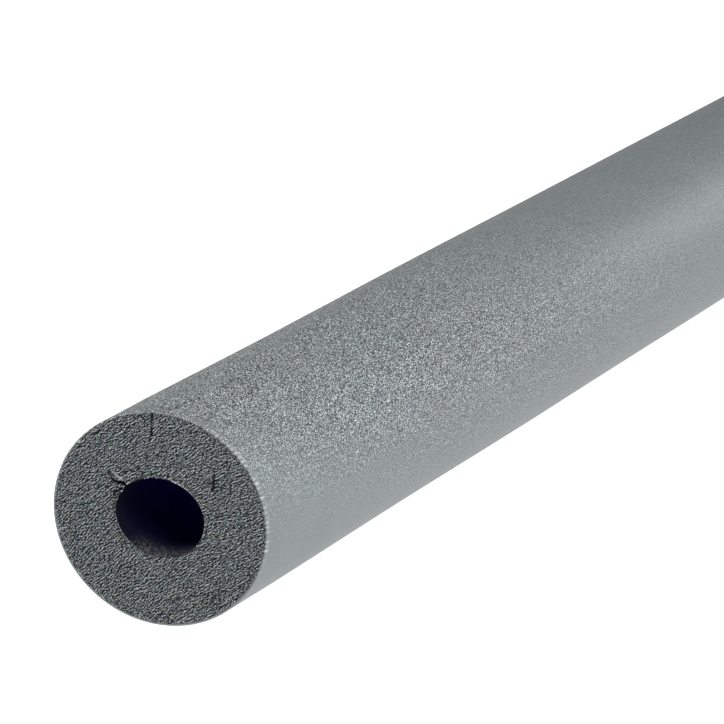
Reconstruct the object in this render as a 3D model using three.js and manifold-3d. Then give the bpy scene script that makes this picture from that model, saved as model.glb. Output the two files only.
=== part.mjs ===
// A length of pipe lagging: a grey polyethylene foam sleeve for a 15 mm pipe, lying on a level surface.
// Units are millimetres. +Z is up, and +Y runs along the sleeve from its near end to its far end.
// The origin is on the surface, straight below the middle of the sleeve.
//
// The sleeve is extruded in one piece. Packing and handling have squashed it a little, so its outside and its
// bore are both ovals that are wider than they are high. The bore is half slit: a knife has opened the bore
// wall along one line and stopped well short of the outer skin. The near end also has a short nick at its top.
import * as THREE from "three";
import { mergeVertices } from "three/addons/utils/BufferGeometryUtils.js";
import Module from "manifold-3d";

// Sleeve
const sleeveLength = 1000;
const sideWall = 13.1;
const topWall = 12.6;
const bottomWall = 13.4;

// Bore
const pipeDiameter = 15;
const pipeClearance = 0.3; // how much higher the bore is than the pipe
const boreSpread = 3.3; // how much wider than high the squashed bore is
const boreTilt = THREE.MathUtils.degToRad(-2); // from +X towards +Z, so the bore's +X side is the lower one

// Half slit in the bore wall, along the whole sleeve
const slitAngle = THREE.MathUtils.degToRad(143); // from +X towards +Z, about the middle of the bore
const slitDepth = 4.3;
const slitMouth = 0.8;

// Nick in the outer skin at the top of the near end
const nickPlace = -1.4; // along X, from the middle
const nickDepth = 4.4;
const nickWidth = 0.4;
const nickReach = 2.5; // how far it runs along the sleeve
const cutOverrun = 1; // how far the cutting wedge stands out of the sleeve

// Facets round each oval. Twice an odd number leaves a facet, and not an edge, straight below the middle.
const outerFacets = 90;
const boreFacets = 60;

const boreHeight = pipeDiameter + pipeClearance;
const boreWidth = boreHeight + boreSpread;
const outerHeight = topWall + boreHeight + bottomWall;
const outerWidth = boreWidth + 2 * sideWall;
// The lowest facet, and not the ideal oval, touches the surface.
const outerMiddle = (outerHeight / 2) * Math.cos(Math.PI / outerFacets);
const boreMiddle = outerMiddle - outerHeight / 2 + bottomWall + boreHeight / 2;

const foam = new THREE.MeshStandardMaterial({ color: 0x949a9c, roughness: 0.8, metalness: 0 });

// Every section here is drawn with x along +X and y along +Z, and its middle stands at x = 0.

// The place on the bore wall at one turn of the oval's own angle.
function boreWall(turn) {
  const place = new THREE.Vector2((boreWidth / 2) * Math.cos(turn), (boreHeight / 2) * Math.sin(turn));
  place.rotateAround(new THREE.Vector2(), boreTilt);
  return place.add(new THREE.Vector2(0, boreMiddle));
}

// The bore's outline: once round the oval from one lip of the slit to the other, then in to the slit's tip.
function boreOutline() {
  const fromTilt = slitAngle - boreTilt;
  const slitTurn = Math.atan2(Math.sin(fromTilt) * boreWidth, Math.cos(fromTilt) * boreHeight);
  const slitStart = boreWall(slitTurn);
  const outward = new THREE.Vector2(Math.cos(slitAngle), Math.sin(slitAngle));
  const slitTip = slitStart.clone().addScaledVector(outward, slitDepth);
  const smallTurn = 1e-3;
  const wallPerTurn = boreWall(slitTurn + smallTurn).distanceTo(slitStart) / smallTurn;
  const halfMouth = slitMouth / 2 / wallPerTurn;

  const outline = new THREE.Path();
  outline.absellipse(
    0,
    boreMiddle,
    boreWidth / 2,
    boreHeight / 2,
    slitTurn + halfMouth,
    slitTurn + 2 * Math.PI - halfMouth,
    false,
    boreTilt,
  );
  outline.lineTo(slitTip.x, slitTip.y);
  outline.closePath();
  return outline;
}

function outerOutline() {
  const outline = new THREE.Path();
  outline.absellipse(0, outerMiddle, outerWidth / 2, outerHeight / 2, 0, 2 * Math.PI, false, 0);
  return outline;
}

// Points along a closed outline, without the repeated last one. A whole oval takes two points a division.
function pointsRound(outline, facets) {
  const points = outline.getPoints(facets / 2);
  const samePlace = 1e-6;
  if (points[0].distanceTo(points[points.length - 1]) < samePlace) points.pop();
  return points;
}

// The sleeve, extruded from the far end at z = 0 to the near end.
function extrudedSleeve() {
  const section = new THREE.Shape(pointsRound(outerOutline(), outerFacets));
  section.holes.push(new THREE.Path(pointsRound(boreOutline(), boreFacets)));
  return new THREE.ExtrudeGeometry(section, { depth: sleeveLength, bevelEnabled: false });
}

// The wedge that cuts the nick: as wide as the nick at the skin, and nothing at its tip.
function nickWedge() {
  const across = nickPlace / (outerWidth / 2);
  const skin = outerMiddle + (outerHeight / 2) * Math.sqrt(1 - across * across);
  const halfTop = ((nickWidth / 2) * (nickDepth + cutOverrun)) / nickDepth;
  const wedge = new THREE.Shape([
    new THREE.Vector2(nickPlace, skin - nickDepth),
    new THREE.Vector2(nickPlace + halfTop, skin + cutOverrun),
    new THREE.Vector2(nickPlace - halfTop, skin + cutOverrun),
  ]);
  const geometry = new THREE.ExtrudeGeometry(wedge, { depth: nickReach + cutOverrun, bevelEnabled: false });
  return geometry.translate(0, 0, sleeveLength - nickReach);
}

const wasm = await Module();
wasm.setup();

// A closed three.js geometry as a manifold-3d solid.
function solidFrom(geometry) {
  const bare = geometry.clone().deleteAttribute("normal").deleteAttribute("uv");
  const merged = mergeVertices(bare, 1e-4);
  const mesh = new wasm.Mesh({
    numProp: 3,
    vertProperties: new Float32Array(merged.attributes.position.array),
    triVerts: new Uint32Array(merged.index.array),
  });
  return new wasm.Manifold(mesh);
}

// A manifold-3d solid as a three.js geometry with flat facets.
function geometryFrom(solid) {
  const mesh = solid.getMesh();
  const indexed = new THREE.BufferGeometry();
  indexed.setAttribute("position", new THREE.BufferAttribute(mesh.vertProperties, 3));
  indexed.setIndex(new THREE.BufferAttribute(mesh.triVerts, 1));
  const flat = indexed.toNonIndexed();
  flat.computeVertexNormals();
  return flat;
}

function foamSleeve() {
  const solid = solidFrom(extrudedSleeve()).subtract(solidFrom(nickWedge()));
  const mesh = new THREE.Mesh(geometryFrom(solid), foam);
  mesh.name = "foam_sleeve";
  return mesh;
}

// Lays the sleeve down: the section's y turns to +Z, and the near end comes to -Y.
const part = new THREE.Group();
part.add(foamSleeve());
part.rotation.x = Math.PI / 2;
part.position.y = sleeveLength / 2;

export default part;
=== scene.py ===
# A length of grey foam pipe lagging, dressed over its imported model.
# Sizes are millimetres in the model's frame: +Z up, +Y from the near end to the far one, origin on the floor.
import math

import bpy
import numpy as np
from mathutils import Matrix, Vector
from mathutils.geometry import delaunay_2d_cdt


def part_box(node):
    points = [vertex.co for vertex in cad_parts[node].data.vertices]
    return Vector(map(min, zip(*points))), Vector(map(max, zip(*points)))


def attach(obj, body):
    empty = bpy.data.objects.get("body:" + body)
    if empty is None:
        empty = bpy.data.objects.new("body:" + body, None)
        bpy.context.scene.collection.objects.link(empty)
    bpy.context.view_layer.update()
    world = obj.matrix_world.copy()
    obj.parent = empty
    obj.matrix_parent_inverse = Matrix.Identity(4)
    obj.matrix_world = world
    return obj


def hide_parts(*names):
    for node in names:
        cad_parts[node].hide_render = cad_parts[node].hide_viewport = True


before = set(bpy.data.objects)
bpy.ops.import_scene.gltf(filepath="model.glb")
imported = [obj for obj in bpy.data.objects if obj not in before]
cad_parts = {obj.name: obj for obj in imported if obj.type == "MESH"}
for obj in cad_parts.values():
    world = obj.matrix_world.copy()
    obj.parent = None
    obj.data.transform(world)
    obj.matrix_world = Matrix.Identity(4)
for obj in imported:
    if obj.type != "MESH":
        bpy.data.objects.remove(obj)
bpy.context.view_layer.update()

METRES = 0.001  # in a millimetre
SEED = 15

# Sleeve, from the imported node
lowest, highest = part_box("foam_sleeve")
HALF_WIDTH = (highest.x - lowest.x) / 2 / METRES
HALF_HEIGHT = (highest.z - lowest.z) / 2 / METRES
HALF_LENGTH = (highest.y - lowest.y) / 2 / METRES
MIDDLE = HALF_HEIGHT  # height of the outer oval's middle over the floor

# Bore and half slit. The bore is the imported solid's. The slit is narrower and sags, as it hangs in the foam.
# Places in the section are x to the right and z up, from the middle of the outer oval.
BORE_HEIGHT = 15.3
BORE_WIDTH = 18.6
BORE_RISE = 0.4
BORE_TILT = math.radians(-2)
SLIT_ANGLE = math.radians(143)
SLIT_DEPTH = 4.3
SLIT_MOUTH = 0.45
SLIT_GAP = 0.6  # at its widest
SLIT_WIDEST = 0.25  # how far down it is widest, as a share of its depth
SLIT_BOW = 1.0  # how far it sags below the straight line
SLIT_SKEW = 1.35  # over 1, it sags most beyond its middle

# Mesh
OUTER_FACETS = 108
BORE_FACETS = 44
SLIT_FACETS = 4  # down each wall of the slit
ROW_LENGTH = 9.5
NEAR_GRID = np.array((0.28, 0.09))  # along the knife's drag and across it
FAR_GRID = np.array((0.42, 0.14))
NEAR_FINENESS = 8  # points round the near rim for each facet
FAR_FINENESS = 4
GRID_JITTER = 0.22  # of the grid's spacing
CLOSEST = 0.6  # of the grid's spacing, from a loose point to an outline's
SKIN_STEPS = (0.12, 0.45)  # depths of the fine rows behind the rim
COARSE_STEPS = (1.3, 3.4, 8.0)  # depths where the rows get coarser

# Rims and mouths of the cut faces
SKEW = 0.2  # how far the squashed outside stands out from the oval at its upper right and lower left
RIM_INSET = 0.3
RIM_ROUND = 0.08
RIM_DROP = 0.12
MOUTH_DROP = 0.02
MOUTH_EDGE = 0.06  # width of the light edge round the bore's mouth
MOUTH_CURL = 0.28  # how far the bore's skin curls in over its mouth
CURL_START = 1.0  # how far from the slit that curl is whole
SLIT_LIP = ((-7.4, 6.12), (-9.9, 7.95))  # the lip above the slit, which gets a painted highlight, by its two ends in the section
SLIT_LIP_HIGHLIGHT = 0.6  # of the lip's painted highlight, at the bore
LIP_TAPER = 0.5  # how much of that it loses by its outer end
LIP_WIDTH = 0.09
LIP_FADE = 3 * LIP_WIDTH  # how far from its middle line it ends

BEAD_GAP = 0.95  # from one painted glint bead of an edge to the next
BEAD_GLINT_LIGHTS = (0.1, 0.8)  # the dimmest and the brightest of those painted glints
RIM_GLINT_SIDE = np.array((0.92, 0.39))  # the rim's beads are painted glints, strongest on this side, which faces the light
RIM_GLINT_REACH = (0.65, 0.9)  # cosines of the angles from that side where they start and are whole
MOUTH_LIT_SIDE = np.array((-0.7, 0.7))  # and the bore's mouth edge gets its painted highlight on this side, where its skin curls in
MOUTH_LIT_REACH = (-0.5, 0.9)
MOUTH_HIGHLIGHT = 0.75  # painted highlight of the mouth's edge between its beads
MOUTH_GLINTS = 0.3  # how much lighter its beads are, as painted glints
MOUTH_LIP = 0.36  # width of the mouth's light edge on the cut face
MOUTH_BAND = 0.7  # how far from the mouth the band of painted shade beside that edge goes
BAND_FADE = 2 * MOUTH_BAND
# how much painted shade darkens that band
BAND_SHADE = 0.14
BORE_LIT_BOTTOM = (0.6, 1.0)  # shares of the way down where the painted light on the bore's bottom starts and is whole
BORE_LIT_DEPTH = 9.0  # depth where that painted light ends

# Torn foam on the end faces
SMOOTH_RIM = 1.1  # how far in from the rim it is whole
CUT_ANGLE = math.radians(38)  # of the knife's drag, from +X towards +Z
CUT_BEND = 0.0095  # how much that turns back for each millimetre along it, in radians
STREAK_GAP = 0.5  # from one streak to the next
STREAK_SPREAD = 0.3  # how unequal those gaps are
STREAK_LENGTH = 1.3
STREAK_SHARPNESS = 0.8  # over 0, the few highest and deepest streaks stand out more
STREAK_WAVES = 220
STREAK_DEPTH = 0.07
PATCH_SIZE = 5.0  # of the places where the streaks are stronger or weaker
PATCH_WAVES = 20
PATCH_SWING = 0.28
FIELD_LIMIT = 2  # how high and how low the streaks and the patches go, where their spread is 1
CALM_SIDE = np.array((0.9, -0.45))  # the streaks are weakest on this side
CALM_SHARE = 0.3
FOAM_LIGHT = 0.42  # of the torn foam, from 0 to 1
# the streaks' crests are lighter and their gaps darker, the gaps' dark partly painted shade
STREAK_LIGHT = 0.34
RIM_LIGHT = 0.47

# Cracks in the near face, each by its two ends in the section, its width, and its depths at its start, middle
# and end
NICK = ((-1.36, 20.2), (-1.5, 16.1), 0.26, (0.7, 0.0, 0.5))
TEAR = ((-7.6, 4.95), (-9.62, 4.0), 0.28, (0.6, 0.8, 0.45))
SHORT_CRACK = ((11.42, 9.7), (11.14, 6.7), 0.3, (0.3, 0.6, 0.3))
CRACK_SHADE_DEPTH = 0.45  # from this depth down a crack is painted black, as its shade
NICK_MOUTH = 0.25  # half its width in the rim
NOTCH_DEPTH = 0.6
CRACK_STEP = 0.12
CRACK_BENDS = 7
CRACK_WANDER = 0.06
CRACK_EDGE = 0.25  # depth of a crack's edges, as a share of its own

# The skin's grain is strongest in a leaning band round each end. How far in a place stands is its distance
# from the end, and the lean for each millimetre of its height over the floor.
GRAIN_HIGH = 42.0
GRAIN_LEAN = 3.2
GRAIN_NEAR = (140, 75)  # from the first of these down to the second it gets weaker towards the end
GRAIN_FAR = (200, 310)  # and from the first of these up to the second towards the middle
GRAIN_LEFT = 0.22
GRAIN_HEIGHTS = (10, 32)  # between these heights it grows from weak to whole
GRAIN_UNDER = 0.2

# Low waves in the skin
WAVE_ORDERS = (1, 2, 2, 3, 4)  # how many times each goes round the sleeve
WAVE_LENGTHS = (70, 240)
WAVE_HEIGHT = 0.05
WAVE_FADE = 18.0  # from each end, where the waves die out

# Small dark marks in the skin, each by its place and its half sizes
SKIN_MARKS = (
    ((18.7, -390.25, 32.0), (0.45, 0.16, 0.55)),
    ((17.0, -367.3, 7.2), (0.3, 0.2, 0.3)),
    ((19.72, -370.0, 10.85), (0.2, 0.17, 0.2)),
    ((21.51, -382.1, 14.9), (0.17, 0.17, 0.17)),
)

# Finishes. Each pair of tones is the darkest and the lightest.
# tone of the painted highlights on the rim's glints, the bore's mouth edge and the slit's lip
LIP_HIGHLIGHT_TONE = (0.6, 0.62, 0.62, 1)
MARK_TONE = (0.03, 0.035, 0.035, 1)
MARK_EDGE = (1.2, 0.6)  # shares of a mark's half size where it starts and where it is whole
FLECK_SIZE = 0.3  # of the slight colour in the foam's cells
FLECK_STRENGTH = 0.45
DULL = 0.1  # shine of the cut cells and of the bore
NOISE_RANGE = (0.3, 0.7)  # where most of a noise's values lie
SKIN_GRAIN = 0.26
SKIN_PATCH = 16.0
SKIN_TONES = ((0.17, 0.193, 0.197, 1), (0.19, 0.215, 0.22, 1))
# the grain's pale specks are painted glints, its dark ones dark dots in the skin
GRAIN_GLINT_TONES = ((0.012, 0.018, 0.02, 1), (0.74, 0.815, 0.815, 1))
GRAIN_RANGE = (0.48, 0.67)  # the grain's values that get the first of these tones and the last
SKIN_RELIEF = 0.3
CUT_GRAIN = (0.36, 0.2, 0.2)
CUT_SWING = 0.45  # how much lighter or darker the cells are than the streak that they are in
CUT_CONTRAST = 2.2
CUT_TONES = ((0.002, 0.003, 0.004, 1), (0.39, 0.424, 0.44, 1))
CUT_RELIEF = 0.1
BORE_GRAIN = (0.3, 0.9, 0.3)
BORE_LIT_TONES = ((0.01, 0.01, 0.015, 1), (0.095, 0.095, 0.1, 1))
BORE_RANGE = (0.4, 0.64)
BORE_RELIEF = 0.15
NAVY_SHADE_TONES = ((0.004, 0.004, 0.014, 1), (0.006, 0.004, 0.95, 1))  # painted shade of the bore: near black at the mouth, and deep in the bore a strong blue that offsets the falling light there
NAVY_DEPTH = 40.0
NAVY_CURVE = 2.2

# Table and lights. Their places and sizes are metres.
TABLE_REACH = 60.0  # half its side
TABLE_TONE = (0.25, 0.25, 0.25, 1)
TABLE_GLOW = 0.95
WHITE = (1, 1, 1, 1)
SKY_STRENGTH = 0.25
LIT_PLACE = (0, -0.25, 0.02)  # where the soft boxes look, on the near half of the sleeve
SOFT_BOXES = (  # name, place, side and power
    ("back_right", (1.1, 2.4, 0.9), 1.0, 18.6),
    ("close", (0.45, -0.75, 0.6), 0.4, 5.6),
    ("left", (-0.6, -0.95, 0.55), 0.25, 3.5),
    ("over", (0, -0.2, 1.5), 1.0, 1.0),
)

# The photograph: its camera was fitted to the outline of the near end and of the tube
PHOTO_SIDE = 724
FOCAL_PIXELS = 4550
SENSOR = 36
VIEW_AZIMUTH = math.radians(25.483)
VIEW_ELEVATION = math.radians(15.417)
FACE_DISTANCE = 843.34  # from the camera to the middle of the near face
FACE_PIXEL = (159.22, 519.28)  # where that middle stands in the photograph

SKIN, CUT, BORE = range(3)  # the finishes, in the order of the mesh's materials
ALONG, UP = 1, 2  # axes
DRAG = np.array(((math.cos(CUT_ANGLE), math.sin(CUT_ANGLE)), (-math.sin(CUT_ANGLE), math.cos(CUT_ANGLE))))


class Surface:
    """Points and triangles gathered piece by piece, with the values that each point carries."""

    def __init__(self):
        self.points = []
        self.lights = []
        self.lips = []
        self.triangles = []
        self.finishes = []
        self.count = 0

    def add_points(self, points, light, lip):
        number = len(points)
        self.points.append(points)
        self.lights.append(np.broadcast_to(light, number))
        self.lips.append(np.broadcast_to(lip, number))
        self.count += number
        return np.arange(self.count - number, self.count)

    def add_triangles(self, triangles, finish):
        self.triangles.append(triangles)
        self.finishes.append(np.full(len(triangles), finish))


def smooth_step(low, high, value):
    share = np.clip((value - low) / (high - low), 0, 1)
    return share * share * (3 - 2 * share)


def on_oval(turns, half_width, half_height, tilt=0.0):
    """Points of an oval, each at one turn of the oval's own angle."""
    x = half_width * np.cos(turns)
    z = half_height * np.sin(turns)
    tilted_x = x * math.cos(tilt) - z * math.sin(tilt)
    tilted_z = x * math.sin(tilt) + z * math.cos(tilt)
    return np.column_stack((tilted_x, tilted_z))


def outer_ring(fineness, inset=0.0):
    turns = np.linspace(0, 2 * np.pi, OUTER_FACETS * fineness, endpoint=False)
    stands_out = SKEW * np.sin(2 * turns)[:, None]
    return on_oval(turns, HALF_WIDTH - inset, HALF_HEIGHT - inset) + stands_out * on_oval(turns, 1, 1)


def bore_wall(turns):
    return on_oval(turns, BORE_WIDTH / 2, BORE_HEIGHT / 2, BORE_TILT) + (0, BORE_RISE)


def slit_turns():
    """The oval's own angle at the slit, and half the slit's mouth in that angle."""
    from_tilt = SLIT_ANGLE - BORE_TILT
    middle = math.atan2(math.sin(from_tilt) * BORE_WIDTH, math.cos(from_tilt) * BORE_HEIGHT)
    small = 1e-3
    two = bore_wall(np.array([middle, middle + small]))
    return middle, SLIT_MOUTH / 2 * small / math.dist(*two)


def slit_ends():
    """Where the slit starts on the bore wall, and its tip."""
    middle, _ = slit_turns()
    start = bore_wall(np.array([middle]))[0]
    return start, start + SLIT_DEPTH * np.array((math.cos(SLIT_ANGLE), math.sin(SLIT_ANGLE)))


def slit_wall(share, side):
    """The slit's upper wall, side 1, or its lower one, side -1, by share of its depth."""
    start, tip = slit_ends()
    upward = np.array((math.sin(SLIT_ANGLE), -math.cos(SLIT_ANGLE)))
    half_gap = np.interp(share, (0, SLIT_WIDEST, 1), (SLIT_MOUTH / 2, SLIT_GAP / 2, 0))
    sag = SLIT_BOW * np.sin(np.pi * share**SLIT_SKEW) ** 2
    return start + np.outer(share, tip - start) + np.outer(side * half_gap - sag, upward)


def bore_ring(fineness, outset=0.0):
    """The bore's outline with the slit: round the oval from lip to lip, then down to the tip and back."""
    middle, half_mouth = slit_turns()
    turns = np.linspace(middle + half_mouth, middle + 2 * np.pi - half_mouth, BORE_FACETS * fineness + 1)
    share = np.linspace(0, 1, SLIT_FACETS * fineness + 1)[1:]
    ring = np.vstack((bore_wall(turns), slit_wall(share, 1), slit_wall(share, -1)[-2::-1]))
    return ring + outset * outward(ring)


def bore_side(points):
    """How far round towards the side of the bore's mouth that gets the painted highlight each place stands,
    from 0 to 1.
    """
    from_middle = points - (0, BORE_RISE)
    cosine = from_middle @ MOUTH_LIT_SIDE / np.linalg.norm(from_middle, axis=1)
    return smooth_step(*MOUTH_LIT_REACH, cosine)


def mouth_ring(fineness):
    """The bore's outline in the cut face, where its skin curls in a little."""
    ring = bore_ring(fineness, MOUTH_EDGE)
    start, _ = slit_ends()
    from_slit = np.linalg.norm(ring - start, axis=1) - SLIT_MOUTH
    curl = MOUTH_CURL * bore_side(ring) * smooth_step(0, CURL_START, from_slit)
    curl[BORE_FACETS * fineness + 1 :] = 0
    return ring - curl[:, None] * outward(ring)


def outward(ring):
    """Unit directions square to a closed ring that runs anticlockwise."""
    along = np.roll(ring, -1, 0) - np.roll(ring, 1, 0)
    square = np.column_stack((along[:, 1], -along[:, 0]))
    return square / np.linalg.norm(square, axis=1)[:, None]


def inside(points, ring):
    """Whether each point lies inside a closed ring."""
    x, z = points[:, :1], points[:, 1:]
    x0, z0 = ring.T
    x1, z1 = np.roll(ring, -1, 0).T
    rise = np.where(z1 == z0, 1, z1 - z0)  # a level side is never crossed
    crosses = ((z0 > z) != (z1 > z)) & (x < x0 + (z - z0) / rise * (x1 - x0))
    return crosses.sum(1) % 2 == 1


def ring_gap(points, ring):
    """How far each point is from the nearest of the ring's points."""
    parts = 40  # which keeps each table of distances small
    gaps = np.empty(len(points))
    for part in np.array_split(np.arange(len(points)), parts):
        gaps[part] = np.linalg.norm(points[part, None] - ring[None], axis=2).min(1)
    return gaps


def in_space(section, depth, end):
    """Section places at a depth behind one end face, in the model's frame. end is -1 near and +1 far."""
    depth = np.broadcast_to(depth, len(section))
    y = end * (HALF_LENGTH - depth)
    height = np.maximum(section[:, 1] + MIDDLE, 0)
    return np.column_stack((section[:, 0], y, height))


def skin_wave(turns, y, rng):
    """How far the skin stands out round one row, in a few long low waves."""
    total = np.zeros(len(turns))
    for order in WAVE_ORDERS:
        length = rng.uniform(*WAVE_LENGTHS)
        shift, turn = rng.uniform(0, 2 * np.pi, 2)
        total += np.sin(order * turns + turn) * np.sin(2 * np.pi * y / length + shift)
    from_end = HALF_LENGTH - abs(y)
    return total * WAVE_HEIGHT * smooth_step(0, WAVE_FADE, from_end)


def turned(points):
    """Section places as places along the knife's drag and across it."""
    return points @ DRAG.T


def waves(places, along, across, rng):
    """A random field over places, made of plane waves with these rates in a millimetre. Its spread is 1."""
    total = np.zeros(len(places))
    for wave in zip(along, across, rng.uniform(0, 1, len(along))):
        total += np.cos(2 * np.pi * (places @ wave[:2] + wave[2]))
    return total * math.sqrt(2 / len(along))


def limited(field):
    return np.clip(field, -FIELD_LIMIT, FIELD_LIMIT)


def streaks(points, rng):
    """How high the torn foam stands: 0 on average, over 1 on its short streaks' crests, below -1 between."""
    places = turned(points)
    places[:, 1] += CUT_BEND / 2 * places[:, 0] ** 2
    along = rng.normal(0, 1 / STREAK_LENGTH, STREAK_WAVES)
    across = rng.normal(1, STREAK_SPREAD, STREAK_WAVES) / STREAK_GAP
    high = waves(places, along, across, rng)
    turns = rng.uniform(0, 2 * np.pi, PATCH_WAVES)
    patches = waves(points, np.cos(turns) / PATCH_SIZE, np.sin(turns) / PATCH_SIZE, rng)
    calm = smooth_step(0, 1, points @ CALM_SIDE / HALF_WIDTH)
    sharp = high * abs(high) ** STREAK_SHARPNESS
    return sharp * (1 + PATCH_SWING * limited(patches)) * (1 - CALM_SHARE * calm)


def to_line(points, start, end):
    """Each point's distance from a straight line between two places, and its share of the way along."""
    start, end = np.array(start), np.array(end)
    way = end - start
    share = np.clip((points - start) @ way / (way @ way), 0, 1)
    return np.linalg.norm(points - start - np.outer(share, way), axis=1), share


def crack_points(crack, rng):
    """Three rows of points along a crack, with how deep each lies and how light it is, painted darker with
    depth as shade.
    """
    start, end, width, depths = crack
    start, end = np.array(start), np.array(end)
    length = np.linalg.norm(end - start)
    share = np.linspace(0, 1, math.ceil(length / CRACK_STEP) + 1)
    square = np.array((start[1] - end[1], end[0] - start[0])) / length
    bends = rng.uniform(-1, 1, CRACK_BENDS)
    wander = np.interp(share, np.linspace(0, 1, CRACK_BENDS), bends) * CRACK_WANDER
    middle = start + np.outer(share, end - start) + np.outer(wander, square)
    deep = np.interp(share, (0, 0.5, 1), depths)
    edges = [middle + side * width / 2 * square for side in (-1, 1)]
    light = FOAM_LIGHT * np.clip(1 - deep / CRACK_SHADE_DEPTH, 0, 1)
    return np.vstack((middle, *edges)), np.outer((1, CRACK_EDGE, CRACK_EDGE), deep).ravel(), np.tile(light, 3)


def slit_lip(points):
    """How much painted highlight each place gets as part of the lip above the slit, from 0 to 1."""
    away, share = to_line(points, *SLIT_LIP)
    return SLIT_LIP_HIGHLIGHT * (1 - smooth_step(LIP_WIDTH, LIP_FADE, away)) * (1 - LIP_TAPER * share)


def mouth_edge(points, mouth):
    """How far each place is in the mouth's edge, which gets a painted highlight, and in the band of painted
    shade beside it, from 0 to 1.
    """
    lip = np.zeros(len(points))
    band = np.zeros(len(points))
    by_bore = np.hypot(*points.T) < BORE_WIDTH
    close = points[by_bore]
    gap = ring_gap(close, mouth)
    side = bore_side(close)
    beyond = smooth_step(0, MOUTH_LIP, gap)
    lip[by_bore] = MOUTH_HIGHLIGHT * side * (1 - beyond)
    band[by_bore] = side * beyond * (1 - smooth_step(MOUTH_BAND, BAND_FADE, gap))
    return lip, band


def painted_glint_beads(ring, rng):
    """Separate light beads along a ring of points, as painted glints, from 0 to 1."""
    length = np.linalg.norm(ring - np.roll(ring, 1, 0), axis=1).sum()
    number = round(length / BEAD_GAP)
    place = np.arange(len(ring)) / len(ring) * number
    bright = rng.uniform(*BEAD_GLINT_LIGHTS, number)
    return bright[place.astype(int)] * np.sin(np.pi * place) ** 2


# Painted glints along the rim's skin edge, only on the side that faces the light.
def painted_rim_glints(ring, rng):
    cosine = ring @ RIM_GLINT_SIDE / np.linalg.norm(ring, axis=1)
    return painted_glint_beads(ring, rng) * smooth_step(*RIM_GLINT_REACH, cosine)


def rim_notch(section, end):
    """How deep the nick at the top of the near end cuts into its rim."""
    if end > 0:
        return np.zeros(len(section))
    nick_top = NICK[0]
    across = abs(section[:, 0] - nick_top[0]) / NICK_MOUTH
    return np.where(section[:, 1] > 0, NOTCH_DEPTH * np.clip(1 - across, 0, 1), 0)


def strip_between(first, second, outward_facing):
    """Triangles between two closed rings, where one may have twice the points of the other."""
    a0, b0 = first, second
    if len(first) == len(second):
        a1, b1 = np.roll(first, -1), np.roll(second, -1)
        triangles = [(a0, b0, a1), (a1, b0, b1)]
    elif len(first) > len(second):
        a0, a1, a2 = first[::2], first[1::2], np.roll(first[::2], -1)
        b1 = np.roll(second, -1)
        triangles = [(a0, b0, a1), (a1, b0, b1), (a1, b1, a2)]
    else:
        b0, b1, b2 = second[::2], second[1::2], np.roll(second[::2], -1)
        a1 = np.roll(first, -1)
        triangles = [(a0, b0, b1), (a0, b1, a1), (a1, b1, b2)]
    faces = np.vstack([np.column_stack(t) for t in triangles])
    return faces if outward_facing else faces[:, ::-1]


def face_grid(spacing, rim, bore, rng):
    """Loose points over a cut face, in rows along the knife's drag, between the rim's ring and the bore's."""
    along, across = spacing
    steps = np.arange(-HALF_WIDTH, HALF_WIDTH, along)
    rows = []
    for number, row in enumerate(np.arange(-HALF_WIDTH, HALF_WIDTH, across)):
        rows.append(np.column_stack((steps + along / 2 * (number % 2), np.full(len(steps), row))))
    places = np.vstack(rows)
    places += rng.uniform(-GRID_JITTER, GRID_JITTER, places.shape) * spacing
    points = places @ DRAG
    points = points[inside(points, rim[::4])]  # a coarse rim is enough, because the next line trims the rest
    points = points[ring_gap(turned(points) / spacing, turned(rim) / spacing) > CLOSEST]
    by_bore = np.hypot(*points.T) < BORE_WIDTH
    close = points[by_bore]
    too_close = ring_gap(turned(close) / spacing, turned(bore) / spacing) < CLOSEST
    bad = np.zeros(len(points), bool)
    bad[by_bore] = inside(close, bore) | too_close
    return points[~bad]


def triangulated(places, spacing, rim_count, bore_count):
    """Triangles of a face whose places start with its rim and its bore, all anticlockwise in the section."""
    rim = np.arange(rim_count)
    bore = np.arange(rim_count, rim_count + bore_count)
    edges = [*zip(rim, np.roll(rim, -1)), *zip(bore, np.roll(bore, -1))]
    edges = [(int(a), int(b)) for a, b in edges]
    even = [Vector(place) for place in (turned(places) / spacing).tolist()]
    merge_under = 1e-7
    corners, _, faces, *_ = delaunay_2d_cdt(even, edges, [], 0, merge_under, False)
    if len(corners) != len(places):
        raise ValueError("the face's outlines cross")
    faces = np.array(faces)
    on_bore = ((faces >= rim_count) & (faces < rim_count + bore_count)).all(1)
    centres = places[faces].mean(1)
    empty = np.zeros(len(faces), bool)
    empty[on_bore] = inside(centres[on_bore], places[bore])
    faces = faces[~empty]
    a, b, c = (places[faces[:, k]] for k in range(3))
    area = (b[:, 0] - a[:, 0]) * (c[:, 1] - a[:, 1]) - (b[:, 1] - a[:, 1]) * (c[:, 0] - a[:, 0])
    faces[area < 0] = faces[area < 0][:, ::-1]
    return faces


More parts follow.
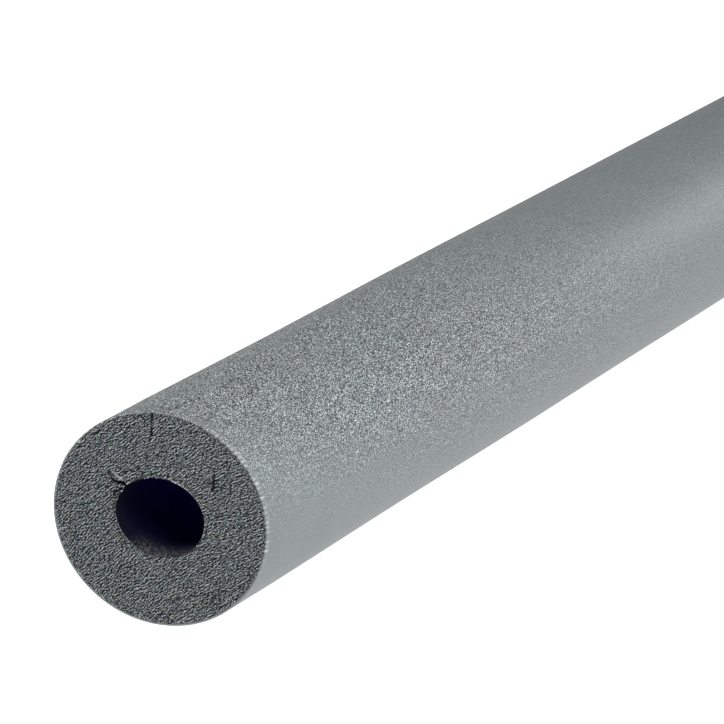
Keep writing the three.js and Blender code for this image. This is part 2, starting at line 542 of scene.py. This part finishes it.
def face_points(end, spacing, rim, bore, mouth, rng):
    """The loose points of one cut face, with how deep and how light each is, painted shade included, and how
    much painted highlight it gets as part of a lip.
    """
    grid = face_grid(spacing, rim, bore, rng)
    cracks = (NICK, TEAR, SHORT_CRACK) if end < 0 else ()
    for start, finish, width, _ in cracks:
        away, _ = to_line(grid, start, finish)
        grid = grid[away > (width + spacing[0]) / 2]
    high = streaks(grid, rng)
    from_rim = HALF_WIDTH * (1 - np.hypot(grid[:, 0] / HALF_WIDTH, grid[:, 1] / HALF_HEIGHT))
    torn = smooth_step(RIM_INSET, SMOOTH_RIM, from_rim)
    # Painted highlight on the mouth's edge and the slit's lip, and the band of painted shade beside the mouth.
    lip, band = mouth_edge(grid, mouth)
    if end < 0:
        lip = np.maximum(lip, slit_lip(grid))
    # The streaks' crests get a lighter tone and their gaps a darker one, the gaps' dark partly painted shade.
    depth = (RIM_DROP + STREAK_DEPTH * torn * (FIELD_LIMIT - limited(high))) * (1 - lip)
    # The band beside the bore's mouth is darkened with painted shade.
    light = RIM_LIGHT + torn * (FOAM_LIGHT - RIM_LIGHT + STREAK_LIGHT * high) - BAND_SHADE * band
    # Cracks are painted darker with depth, as shade.
    for crack in cracks:
        points, deep, crack_shade = crack_points(crack, rng)
        clear = ~inside(points, bore) & (ring_gap(points, bore) > CRACK_STEP / 2)
        grid = np.vstack((grid, points[clear]))
        depth = np.append(depth, RIM_DROP + deep[clear])
        light = np.append(light, crack_shade[clear])
        lip = np.append(lip, np.zeros(clear.sum()))
    return grid, depth, np.clip(light, 0, 1), lip


def end_face(surface, end, fineness, spacing, rng):
    """One cut end. Returns the rows of points behind its rim, and those behind the bore's mouth."""
    rim = outer_ring(fineness, RIM_INSET)
    bore = mouth_ring(fineness)
    mouth = bore[: BORE_FACETS * fineness + 1]
    grid, depth, light, lip = face_points(end, spacing, rim, bore, mouth, rng)
    rim_depth = RIM_DROP + rim_notch(rim, end)
    rim_glints = painted_rim_glints(rim, rng)
    # Painted highlight on the lit side of the bore's mouth, with painted glint beads.
    mouth_highlight = np.zeros(len(bore))
    mouth_highlight[: len(mouth)] = MOUTH_HIGHLIGHT * bore_side(mouth) * (1 + MOUTH_GLINTS * painted_glint_beads(mouth, rng))
    rim_points = surface.add_points(in_space(rim, rim_depth, end), RIM_LIGHT, rim_glints)
    bore_points = surface.add_points(in_space(bore, MOUTH_DROP, end), FOAM_LIGHT, mouth_highlight)
    grid_points = surface.add_points(in_space(grid, depth, end), light, lip)
    numbers = np.concatenate((rim_points, bore_points, grid_points))
    faces = numbers[triangulated(np.vstack((rim, bore, grid)), spacing, len(rim), len(bore))]
    surface.add_triangles(faces if end < 0 else faces[:, ::-1], CUT)
    skin_rows = [rim_points, *rim_rows(surface, end, fineness, rim_glints)]
    return skin_rows, [bore_points, *bore_rows(surface, end, fineness)]


def coarser_rows(fineness):
    """The depths where the rows behind a rim get coarser, each with its new fineness."""
    while fineness > 1:
        fineness //= 2
        yield COARSE_STEPS[-1 - int(math.log2(fineness))], fineness


def rim_rows(surface, end, fineness, lit):
    """The rounded rim behind one face, with its painted glint beads, and the rows that get coarser behind it.
    """
    edge = outer_ring(fineness, RIM_ROUND)
    rows = [surface.add_points(in_space(edge, rim_notch(edge, end), end), 1.0, lit)]
    for depth in SKIN_STEPS:
        ring = outer_ring(fineness)
        deeper = rim_notch(ring, end) * (1 - depth / COARSE_STEPS[0])
        rows.append(surface.add_points(in_space(ring, depth + deeper, end), 1.0, lit))
    for depth, coarser in coarser_rows(fineness):
        rows.append(surface.add_points(in_space(outer_ring(coarser), depth, end), 1.0, 0.0))
    return rows


def painted_bore_light(ring, depth):
    """Painted light on the bore's skin: palest along its bottom, close to the mouth."""
    low = smooth_step(*BORE_LIT_BOTTOM, (BORE_RISE - ring[:, 1]) / (BORE_HEIGHT / 2))
    return low * (1 - smooth_step(0, BORE_LIT_DEPTH, depth))


def bore_rows(surface, end, fineness):
    """The rows of the bore's wall behind one face, which get coarser too."""
    rows = []
    for depth, coarser in [*((step, fineness) for step in SKIN_STEPS), *coarser_rows(fineness)]:
        ring = bore_ring(coarser)
        # Painted light along the bore's bottom near the mouth.
        rows.append(surface.add_points(in_space(ring, depth, end), painted_bore_light(ring, depth), 0.0))
    return rows


def middle_places():
    reach = HALF_LENGTH - COARSE_STEPS[-1] - ROW_LENGTH
    return np.linspace(-reach, reach, round(2 * reach / ROW_LENGTH) + 1)


def skin_middle(surface, rng):
    """The long plain rows of the skin between the two ends."""
    section = outer_ring(1)
    turns = np.arctan2(section[:, 1] / HALF_HEIGHT, section[:, 0] / HALF_WIDTH)
    wave_seed = int(rng.integers(1 << 30))  # every row draws the same waves
    rows = []
    for y in middle_places():
        out = skin_wave(turns, y, np.random.default_rng(wave_seed))
        ring = section + outward(section) * out[:, None]
        rows.append(surface.add_points(in_space(ring, HALF_LENGTH + y, -1), 1.0, 0.0))
    return rows


def bore_middle(surface):
    """The long plain rows of the bore's wall between the two ends."""
    section = bore_ring(1)
    rows = []
    for y in middle_places():
        light = painted_bore_light(section, HALF_LENGTH - abs(y))
        rows.append(surface.add_points(in_space(section, HALF_LENGTH + y, -1), light, 0.0))
    return rows


def skin_over(surface, rows, outward_facing, finish):
    for first, second in zip(rows, rows[1:]):
        surface.add_triangles(strip_between(first, second, outward_facing), finish)


def sleeve_surface():
    rng = np.random.default_rng(SEED)
    surface = Surface()
    near_skin, near_bore = end_face(surface, -1, NEAR_FINENESS, NEAR_GRID, rng)
    far_skin, far_bore = end_face(surface, 1, FAR_FINENESS, FAR_GRID, rng)
    skin_over(surface, near_skin + skin_middle(surface, rng) + far_skin[::-1], True, SKIN)
    skin_over(surface, near_bore + bore_middle(surface) + far_bore[::-1], False, BORE)
    return surface


def sharpen_mouths(mesh, triangles, finishes):
    """Makes the edges between cut faces and bore sharp, so that the mouth's edge is lit as the faces are."""
    in_cut, in_bore = np.zeros((2, len(mesh.vertices)), bool)
    in_cut[triangles[finishes == CUT]] = True
    in_bore[triangles[finishes == BORE]] = True
    ends = np.zeros(2 * len(mesh.edges), np.int32)
    mesh.edges.foreach_get("vertices", ends)
    sharp = (in_cut & in_bore)[ends.reshape(-1, 2)].all(1)
    mesh.attributes.new("sharp_edge", "BOOLEAN", "EDGE").data.foreach_set("value", sharp)


def mesh_object(name, surface, materials):
    points = np.vstack(surface.points) * METRES
    triangles = np.vstack(surface.triangles)
    finishes = np.concatenate(surface.finishes)
    mesh = bpy.data.meshes.new(name)
    mesh.vertices.add(len(points))
    mesh.vertices.foreach_set("co", points.ravel())
    mesh.loops.add(triangles.size)
    mesh.loops.foreach_set("vertex_index", triangles.ravel())
    mesh.polygons.add(len(triangles))
    mesh.polygons.foreach_set("loop_start", np.arange(0, triangles.size, 3))
    mesh.polygons.foreach_set("material_index", finishes)
    for label, values in (("light", surface.lights), ("lip", surface.lips)):
        layer = mesh.attributes.new(label, "FLOAT", "POINT")
        layer.data.foreach_set("value", np.concatenate(values).astype(np.float32))
    mesh.update()
    mesh.validate()
    mesh.shade_smooth()
    sharpen_mouths(mesh, triangles, finishes)
    for material in materials:
        mesh.materials.append(material)
    made = bpy.data.objects.new(name, mesh)
    bpy.context.scene.collection.objects.link(made)
    return made


class Finish:
    """A node material, with short ways to add its textures."""

    def __init__(self, name):
        self.material = bpy.data.materials.new(name)
        self.material.use_nodes = True
        self.tree = self.material.node_tree
        self.shader = self.tree.nodes["Principled BSDF"]
        self.place = self.tree.nodes.new("ShaderNodeTexCoord").outputs["Object"]

    def add(self, kind, **settings):
        made = self.tree.nodes.new(kind)
        for name, value in settings.items():
            setattr(made, name, value)
        return made

    def join(self, value, socket):
        if isinstance(value, bpy.types.NodeSocket):
            self.tree.links.new(value, socket)
        else:
            socket.default_value = value

    def laid(self, sizes, angle=0.0):
        """Places in a texture's own units, which have these sizes along the axes, turned in the section."""
        mapping = self.add("ShaderNodeMapping", vector_type="TEXTURE")
        self.join(self.place, mapping.inputs["Vector"])
        mapping.inputs["Rotation"].default_value = (0, -angle, 0)
        mapping.inputs["Scale"].default_value = [size * METRES for size in sizes]
        return mapping.outputs["Vector"]

    def noise(self, detail, size=None, place=None, output="Fac"):
        """Noise of one size in every direction, or over places that are already laid in its own units."""
        texture = self.add("ShaderNodeTexNoise")
        self.join(place or self.place, texture.inputs["Vector"])
        texture.inputs["Scale"].default_value = 1 / (size * METRES) if size else 1
        texture.inputs["Detail"].default_value = detail
        return texture.outputs[output]

    def spread(self, value, low, high, new_low=0.0, new_high=1.0):
        made = self.add("ShaderNodeMapRange", clamp=True)
        sockets = ("Value", "From Min", "From Max", "To Min", "To Max")
        for name, given in zip(sockets, (value, low, high, new_low, new_high)):
            self.join(given, made.inputs[name])
        return made.outputs["Result"]

    def between(self, axis, low, high, new_low, new_high):
        """A value from new_low to new_high, as one coordinate without its sign goes from low to high."""
        parts = self.add("ShaderNodeSeparateXYZ")
        self.join(self.place, parts.inputs[0])
        size = self.sum(parts.outputs[axis], 0.0, "ABSOLUTE")
        return self.spread(size, low * METRES, high * METRES, new_low, new_high)

    def sum(self, first, second, operation="ADD"):
        made = self.add("ShaderNodeMath", operation=operation)
        self.join(first, made.inputs[0])
        self.join(second, made.inputs[1])
        return made.outputs[0]

    def mixed(self, share, first, second, way="MIX"):
        """Two colours mixed. The node has more than one socket of each name, so the colours' go by number."""
        made = self.add("ShaderNodeMix", data_type="RGBA", blend_type=way)
        self.join(share, made.inputs["Factor"])
        self.join(first, made.inputs[6])
        self.join(second, made.inputs[7])
        return made.outputs[2]

    def flecked(self, tone):
        """The tone with a slight colour from cell to cell."""
        return self.mixed(FLECK_STRENGTH, tone, self.noise(0.0, FLECK_SIZE, output="Color"), "OVERLAY")

    def spot(self, place, size):
        """1 within a small oval mark on the skin, and 0 outside it."""
        mapping = self.add("ShaderNodeMapping", vector_type="TEXTURE")
        self.join(self.place, mapping.inputs["Vector"])
        mapping.inputs["Location"].default_value = [part * METRES for part in place]
        mapping.inputs["Scale"].default_value = [part * METRES for part in size]
        away = self.add("ShaderNodeVectorMath", operation="LENGTH")
        self.join(mapping.outputs["Vector"], away.inputs[0])
        return self.spread(away.outputs["Value"], *MARK_EDGE)

    def carried(self, label):
        """A value that the mesh carries at each point."""
        return self.add("ShaderNodeAttribute", attribute_name=label).outputs["Fac"]

    def finished(self, tone, roughness, height, relief):
        """The material, with its tone, its roughness and a bump of this relief where the height is 1."""
        bump = self.add("ShaderNodeBump")
        self.join(height, bump.inputs["Height"])
        bump.inputs["Distance"].default_value = relief * METRES
        bump.inputs["Strength"].default_value = 1
        self.join(bump.outputs["Normal"], self.shader.inputs["Normal"])
        self.join(tone, self.shader.inputs["Base Color"])
        self.shader.inputs["Roughness"].default_value = roughness
        return self.material


def grain_strength(made):
    """How strong the skin's grain and its painted glints are, from 0 to 1: less near the end, far from it and
    low down, where the light on the skin is broad.
    """
    by_height = made.between(UP, 0, GRAIN_HIGH, 0, GRAIN_HIGH * GRAIN_LEAN)
    lean = made.sum(by_height, made.between(ALONG, 0, HALF_LENGTH, HALF_LENGTH, 0))
    close = made.spread(lean, *GRAIN_NEAR, 1, GRAIN_LEFT)
    far = made.spread(lean, *GRAIN_FAR, 1, GRAIN_LEFT)
    low = made.between(UP, *GRAIN_HEIGHTS, GRAIN_UNDER, 1)
    return made.sum(made.sum(close, far, "MULTIPLY"), low, "MULTIPLY")


def skin_finish():
    """The pebbled satin skin outside."""
    made = Finish("foam_skin")
    grain = made.noise(1.0, SKIN_GRAIN)
    grainy = grain_strength(made)
    patches = made.noise(3.0, SKIN_PATCH)
    tone = made.mixed(made.spread(patches, *NOISE_RANGE), *SKIN_TONES)
    # Painted glints in the grain's pale specks.
    glint_speckled = made.flecked(made.mixed(made.spread(grain, *GRAIN_RANGE), *GRAIN_GLINT_TONES))
    tone = made.mixed(grainy, tone, glint_speckled)
    # Painted highlight: the rim's glint beads in the light lip tone.
    tone = made.mixed(made.carried("lip"), tone, LIP_HIGHLIGHT_TONE)
    for place, size in SKIN_MARKS:
        tone = made.mixed(made.spot(place, size), tone, MARK_TONE)
    return made.finished(tone, roughness=0.5, height=made.sum(grain, grainy, "MULTIPLY"), relief=SKIN_RELIEF)


def cut_finish():
    """The open cut cells of the end faces."""
    made = Finish("foam_cut")
    fine = made.noise(1.0, place=made.laid(CUT_GRAIN, CUT_ANGLE))
    # The tone that the mesh carries, with painted shade in the streaks' gaps, in the cracks and beside the
    # mouth.
    light = made.sum(made.carried("light"), made.spread(fine, *NOISE_RANGE, -CUT_SWING, CUT_SWING))
    tone = made.flecked(made.mixed(made.sum(light, CUT_CONTRAST, "POWER"), *CUT_TONES))
    # Painted highlight on the mouth's edge and the slit's lip.
    tone = made.mixed(made.carried("lip"), tone, LIP_HIGHLIGHT_TONE)
    made.shader.inputs["Specular IOR Level"].default_value = DULL
    return made.finished(tone, roughness=0.8, height=fine, relief=CUT_RELIEF)


def bore_finish():
    """The skin inside the bore, painted as navy shade, with painted light along its bottom near the mouth."""
    made = Finish("foam_bore")
    grain = made.noise(1.0, place=made.laid(BORE_GRAIN))
    lit_bottom_tone = made.mixed(made.spread(grain, *BORE_RANGE), *BORE_LIT_TONES)
    # Painted navy shade, its blue rising with depth as the light falls off.
    deep = made.between(ALONG, HALF_LENGTH - NAVY_DEPTH, HALF_LENGTH, 1, 0)
    navy_shade = made.mixed(made.sum(deep, NAVY_CURVE, "POWER"), *NAVY_SHADE_TONES)
    # The painted light on the bore's bottom, over its painted navy shade.
    tone = made.mixed(made.carried("light"), navy_shade, lit_bottom_tone)
    made.shader.inputs["Specular IOR Level"].default_value = DULL
    return made.finished(tone, roughness=0.9, height=grain, relief=BORE_RELIEF)


def sleeve():
    made = mesh_object("foam_sleeve_visual", sleeve_surface(), (skin_finish(), cut_finish(), bore_finish()))
    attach(made, "root")
    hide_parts("foam_sleeve")
    return made


def floor():
    """A plain white table that glows a little, as a photographer's light table does."""
    corners = [(x * TABLE_REACH, y * TABLE_REACH, 0) for x, y in ((-1, -1), (1, -1), (1, 1), (-1, 1))]
    mesh = bpy.data.meshes.new("floor")
    mesh.from_pydata(corners, [], [(0, 1, 2, 3)])
    made = bpy.data.objects.new("floor", mesh)
    bpy.context.scene.collection.objects.link(made)
    material = bpy.data.materials.new("white_table")
    material.use_nodes = True
    shader = material.node_tree.nodes["Principled BSDF"]
    shader.inputs["Base Color"].default_value = TABLE_TONE
    shader.inputs["Roughness"].default_value = 0.9
    shader.inputs["Specular IOR Level"].default_value = 0.0
    shader.inputs["Emission Color"].default_value = WHITE
    shader.inputs["Emission Strength"].default_value = TABLE_GLOW
    mesh.materials.append(material)


def soft_box(name, place, size, power):
    """A square area light that looks at the lit place."""
    lamp = bpy.data.lights.new(name, "AREA")
    lamp.size = size
    lamp.energy = power
    made = bpy.data.objects.new(name, lamp)
    made.location = place
    made.rotation_euler = (Vector(LIT_PLACE) - made.location).to_track_quat("-Z", "Y").to_euler()
    bpy.context.scene.collection.objects.link(made)


def lights():
    world = bpy.data.worlds.new("studio")
    world.use_nodes = True
    sky = world.node_tree.nodes["Background"]
    sky.inputs["Color"].default_value = WHITE
    sky.inputs["Strength"].default_value = SKY_STRENGTH
    bpy.context.scene.world = world
    for name, place, size, power in SOFT_BOXES:
        soft_box(name, place, size, power)


def camera():
    """The photograph's camera, set back from the near face along the ray through that face's pixel."""
    data = bpy.data.cameras.new("camera")
    data.sensor_width = SENSOR
    data.lens = SENSOR * FOCAL_PIXELS / PHOTO_SIDE
    data.clip_start = 0.01
    data.clip_end = 300
    ahead = Vector((
        -math.sin(VIEW_AZIMUTH) * math.cos(VIEW_ELEVATION),
        math.cos(VIEW_AZIMUTH) * math.cos(VIEW_ELEVATION),
        -math.sin(VIEW_ELEVATION),
    ))
    right = ahead.cross(Vector((0, 0, 1))).normalized()
    up = right.cross(ahead)
    across = (FACE_PIXEL[0] - PHOTO_SIDE / 2) / FOCAL_PIXELS
    rise = (PHOTO_SIDE / 2 - FACE_PIXEL[1]) / FOCAL_PIXELS
    ray = (ahead + right * across + up * rise).normalized()
    face = Vector((0, -HALF_LENGTH, MIDDLE)) * METRES
    made = bpy.data.objects.new("camera", data)
    turn = Matrix((right, up, -ahead)).transposed().to_4x4()
    made.matrix_world = Matrix.Translation(face - ray * FACE_DISTANCE * METRES) @ turn
    bpy.context.scene.collection.objects.link(made)
    bpy.context.scene.camera = made


camera()
floor()
lights()
sleeve()
bpy.context.scene.view_settings.view_transform = "Standard"

bpy.context.view_layer.update()
